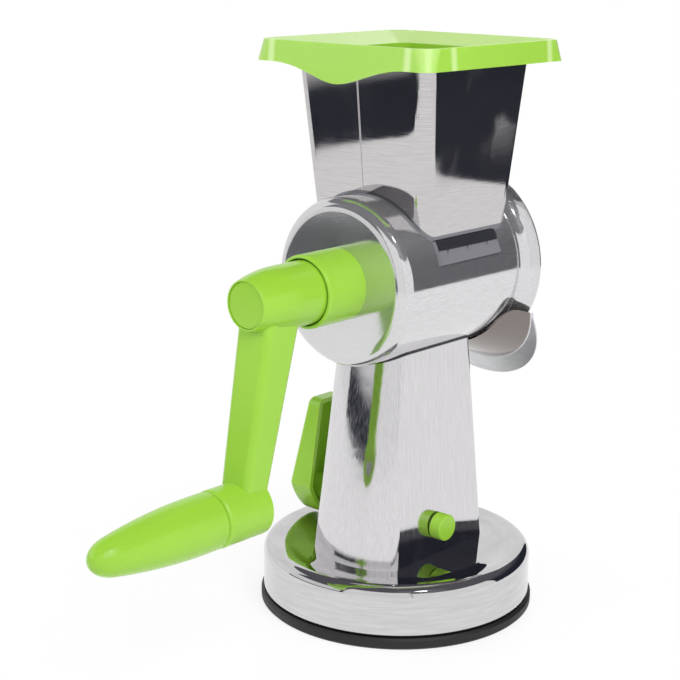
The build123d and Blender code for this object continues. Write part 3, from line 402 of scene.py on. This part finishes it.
def floor():
    """A white disc of floor, radius r and angle a: (r cos a, r sin a, 0)."""
    radii = np.array([0.0001, 0.1, 0.4, 2.0, 9.0])
    angles = np.radians(np.arange(0, 360, 6))
    radius, angle = np.meshgrid(radii, angles, indexing="ij")
    made = ring_mesh("floor", np.stack([radius * np.cos(angle), radius * np.sin(angle), 0 * radius], -1))
    f = Finish("floor_white")
    f.set(Base_Color=rgb(250, 250, 250), Roughness=0.6)
    lit = f.node("ShaderNodeEmission")
    rays = f.node("ShaderNodeLightPath").outputs
    mirrored = f.math("MAXIMUM", rays["Is Camera Ray"], rays["Is Glossy Ray"])
    seen = f.math("MAXIMUM", mirrored, rays["Is Transmission Ray"])
    # near the object the floor keeps a share of the lit surface, so that the shadow stays
    x, y, _ = f.parts()
    share = f.math("MULTIPLY", seen, f.spread(f.length(x, y), *SHADOW_FADE, SHADOW_SHARE, 1.0))
    blend = f.node("ShaderNodeMixShader")
    f.link(share, blend.inputs["Fac"])
    f.link(f.shader.outputs[0], blend.inputs[1])
    f.link(lit.outputs[0], blend.inputs[2])
    f.surface(blend)
    made.data.materials.append(f.material)


def studio_wall():
    """The room that the steel mirrors, seen by no other ray: a round wall with a dome over it."""
    angle = np.radians(np.arange(0, 360, 4))
    wall = np.linspace(STUDIO_FOOT, STUDIO_WALL_TOP, 20)
    dome = np.radians(np.arange(4, 89, 6))
    rise = np.concatenate([wall, STUDIO_WALL_TOP + STUDIO_DOME_RISE * np.sin(dome)])
    radius = np.concatenate([np.full(wall.size, STUDIO_RADIUS), STUDIO_RADIUS * np.cos(dome)])
    points = np.stack(
        [radius[:, None] * np.cos(angle), radius[:, None] * np.sin(angle), rise[:, None] + 0 * angle], -1
    )
    made = ring_mesh("studio_wall", points + np.array(STUDIO_SHIFT))
    f = Finish("studio_dark")
    x, y, z = f.parts()
    turn = f.math("ARCTAN2", y, x)

    def panel(azimuth, half_width, low, high):
        """1 inside a panel about an azimuth in degrees, between two heights, with soft edges."""
        away = f.math("SUBTRACT", turn, math.radians(azimuth))
        wrapped = f.math("ABSOLUTE", f.math("ARCTAN2", f.math("SINE", away), f.math("COSINE", away)))
        across = f.spread(wrapped, math.radians(half_width), math.radians(half_width) - PANEL_EDGE)
        over = f.spread(z, low, low + PANEL_EDGE * STUDIO_RADIUS)
        under = f.spread(z, high, high - PANEL_EDGE * STUDIO_RADIUS)
        return f.math("MULTIPLY", across, f.math("MULTIPLY", over, under))

    total = 0.0
    for *shape, strength in PANELS:
        total = f.math("MAXIMUM", total, f.math("MULTIPLY", panel(*shape), strength))
    room = f.mix(f.spread(z, 0.36, 0.7), rgb(42, 45, 55), rgb(96, 95, 101))
    lit = f.node("ShaderNodeEmission")
    f.link(f.mix(total, room, WHITE), lit.inputs["Color"])
    f.surface(lit)
    made.data.materials.append(f.material)
    for ray in ("camera", "diffuse", "transmission", "volume_scatter", "shadow"):
        setattr(made, f"visible_{ray}", False)


floor()
studio_wall()


def soft_lamp(name, place, size, power):
    """A square studio lamp that looks at the object's middle."""
    lamp = bpy.data.lights.new(name, "AREA")
    lamp.shape = "SQUARE"
    lamp.size = size
    lamp.energy = power
    made = bpy.data.objects.new(name, lamp)
    made.location = place
    made.rotation_mode = "QUATERNION"
    made.rotation_quaternion = (LAMP_AIM - Vector(place)).to_track_quat("-Z", "Y")
    scene.collection.objects.link(made)


soft_lamp("key_lamp", (0.75, -0.35, 0.9), 0.7, 9.0)
soft_lamp("left_lamp", (-0.8, -0.7, 0.6), 0.6, 4.0)
soft_lamp("back_lamp", (-0.3, 0.9, 0.8), 0.6, 3.0)

world = bpy.data.worlds.new("white_room")
world.use_nodes = True
scene.world = world
tree = world.node_tree
background = tree.nodes["Background"]
rays = tree.nodes.new("ShaderNodeLightPath").outputs


def brighter(first, second):
    """The larger of two values in the world's nodes."""
    made = tree.nodes.new("ShaderNodeMath")
    made.operation = "MAXIMUM"
    tree.links.new(first, made.inputs[0])
    tree.links.new(second, made.inputs[1])
    return made.outputs[0]


# white where it is seen or mirrored, dimmer as a light
mirrored = brighter(rays["Is Camera Ray"], rays["Is Glossy Ray"])
level = tree.nodes.new("ShaderNodeMapRange")
tree.links.new(brighter(mirrored, rays["Is Transmission Ray"]), level.inputs["Value"])
level.inputs["To Min"].default_value = WORLD_LIGHT
level.inputs["To Max"].default_value = 1.0
tree.links.new(level.outputs["Result"], background.inputs["Strength"])
background.inputs["Color"].default_value = WHITE

# ---- camera --------------------------------------------------------------------------------------

turn, pitch, roll = (math.radians(v) for v in (CAMERA_TURN, CAMERA_PITCH, CAMERA_ROLL))
ahead = Vector((-math.sin(turn) * math.cos(pitch), math.cos(turn) * math.cos(pitch), -math.sin(pitch)))
right = Vector((math.cos(turn), math.sin(turn), 0.0))
above = right.cross(ahead)
right, above = (
    math.cos(roll) * right + math.sin(roll) * above,
    -math.sin(roll) * right + math.cos(roll) * above,
)
camera = bpy.data.objects.new("camera", bpy.data.cameras.new("camera"))
camera.data.sensor_width = SENSOR
camera.data.lens = FOCAL_PIXELS / PHOTO_WIDTH * SENSOR
camera.data.clip_start = 0.01
camera.rotation_mode = "QUATERNION"
camera.location = CAMERA_PLACE
camera.rotation_quaternion = Matrix((right, above, -ahead)).transposed().to_quaternion()
scene.collection.objects.link(camera)
scene.camera = camera
scene.view_settings.view_transform = "Standard"
